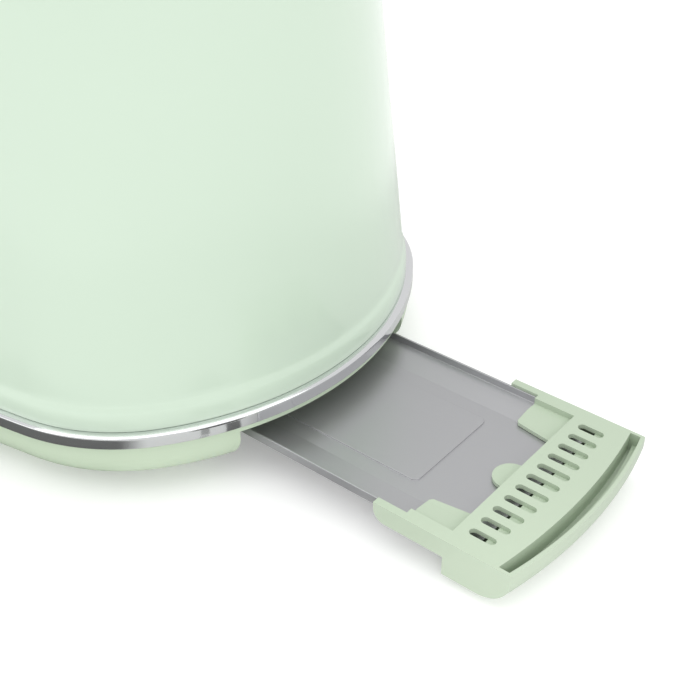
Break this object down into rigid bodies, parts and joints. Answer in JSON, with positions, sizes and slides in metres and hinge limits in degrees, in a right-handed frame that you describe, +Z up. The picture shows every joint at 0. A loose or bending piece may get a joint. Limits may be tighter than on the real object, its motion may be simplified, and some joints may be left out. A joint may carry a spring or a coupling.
{
  "type": "pop-up toaster",
  "caption": "Retro pop-up toaster: leaning oval shell on a chrome band, lift lever, browning knob, push buttons and a pull-out crumb tray.",
  "frame": {"origin": "middle of the toaster's oval plan, on the table plane under its feet", "axes": "+X along the toaster's length, the way its crumb tray pulls out; +Z up; the lift lever and the controls are at the -X end; +Y is the long side with the mains gland"},
  "size_m": [0.4067, 0.199, 0.2056],
  "materials": {
    "shell_paint": "gloss",
    "base_plastic": "satin",
    "tray_plastic": "satin",
    "chrome": "polished",
    "tray_steel": "satin",
    "frame_steel": "satin",
    "guide_wire": "satin",
    "core_iron": "satin",
    "mica": "satin",
    "heating_ribbon": "satin",
    "coil_copper": "satin",
    "rubber": "matte",
    "screw_steel": "satin",
    "control_plastic": "gloss",
    "inner_plastic": "matte",
    "terminal_plastic": "matte",
    "circuit_board": "satin",
    "wire_insulation": "matte",
    "pointer_paint": "gloss"
  },
  "bodies": {
    "chassis": {"base_band": "chrome", "base_skirt": "base_plastic", "board_holder": "inner_plastic", "board_screws": "screw_steel", "body_shell": "shell_paint", "button_bezel": "chrome", "button_switches": "inner_plastic", "centre_heater_card": "mica", "centre_heater_ribbons": "heating_ribbon", "chamber_cap": "frame_steel", "contact_block": "inner_plastic", "control_board": "circuit_board", "cord_gland": "inner_plastic", "foot_screws": "screw_steel", "frame_screws": "screw_steel", "front_end_plate": "frame_steel", "guide_rods": "guide_wire", "knob_bezel": "chrome", "lead_wires": "wire_insulation", "left_crumb_chute": "frame_steel", "left_heat_shield": "frame_steel", "left_heater_card": "mica", "left_heater_ribbon": "heating_ribbon", "left_inner_bread_guide": "guide_wire", "left_outer_bread_guide": "guide_wire", "left_tray_rail": "frame_steel", "lever_slot_trim": "chrome", "lift_spring": "guide_wire", "low_rod_bracket": "frame_steel", "magnet_coil": "coil_copper", "magnet_core": "core_iron", "rear_end_plate": "frame_steel", "right_crumb_chute": "frame_steel", "right_heat_shield": "frame_steel", "right_heater_card": "mica", "right_heater_ribbon": "heating_ribbon", "right_inner_bread_guide": "guide_wire", "right_outer_bread_guide": "guide_wire", "right_tray_rail": "frame_steel", "rubber_feet": "rubber", "slot_surround": "chrome", "terminal_block": "terminal_plastic", "terminal_screws": "screw_steel", "timer_pot": "inner_plastic", "top_rod_bracket": "frame_steel"},
    "tray": {"crumb_pan": "tray_steel", "tray_front": "tray_plastic"},
    "carriage_unit": {"carriage": "frame_steel", "right_bread_rack": "frame_steel", "left_bread_rack": "frame_steel", "lever_arm": "frame_steel", "lever_knob": "control_plastic", "latch_keeper": "core_iron"},
    "knob_unit": {"browning_knob": "control_plastic", "knob_shaft": "inner_plastic", "knob_pointer": "pointer_paint"},
    "cancel_unit": {"cancel_button": "control_plastic"},
    "reheat_unit": {"reheat_button": "control_plastic"},
    "defrost_unit": {"defrost_button": "control_plastic"}
  },
  "joints": [
    {"name": "tray_slide", "type": "slide", "parent": "chassis", "child": "tray", "axis": [1, 0, 0], "range_m": [-0.097, 0.15]},
    {"name": "lever_slide", "type": "slide", "parent": "chassis", "child": "carriage_unit", "axis": [0, 0, -1], "range_m": [0, 0.058], "stiffness_N_per_m": 40, "springref_m": -0.06, "deforming": ["lift_spring"]},
    {"name": "browning_turn", "type": "hinge", "parent": "chassis", "child": "knob_unit", "pos_m": [-0.14392, 0, 0.05606], "axis": [-0.9954, 0, 0.0958], "range_deg": [-135, 135]},
    {"name": "cancel_press", "type": "slide", "parent": "chassis", "child": "cancel_unit", "axis": [0.9954, 0, -0.0958], "range_m": [0, 0.002], "stiffness_N_per_m": 300, "springref_m": -0.001},
    {"name": "reheat_press", "type": "slide", "parent": "chassis", "child": "reheat_unit", "axis": [0.9954, 0, -0.0958], "range_m": [0, 0.002], "stiffness_N_per_m": 300, "springref_m": -0.001},
    {"name": "defrost_press", "type": "slide", "parent": "chassis", "child": "defrost_unit", "axis": [0.9954, 0, -0.0958], "range_m": [0, 0.002], "stiffness_N_per_m": 300, "springref_m": -0.001}
  ]
}
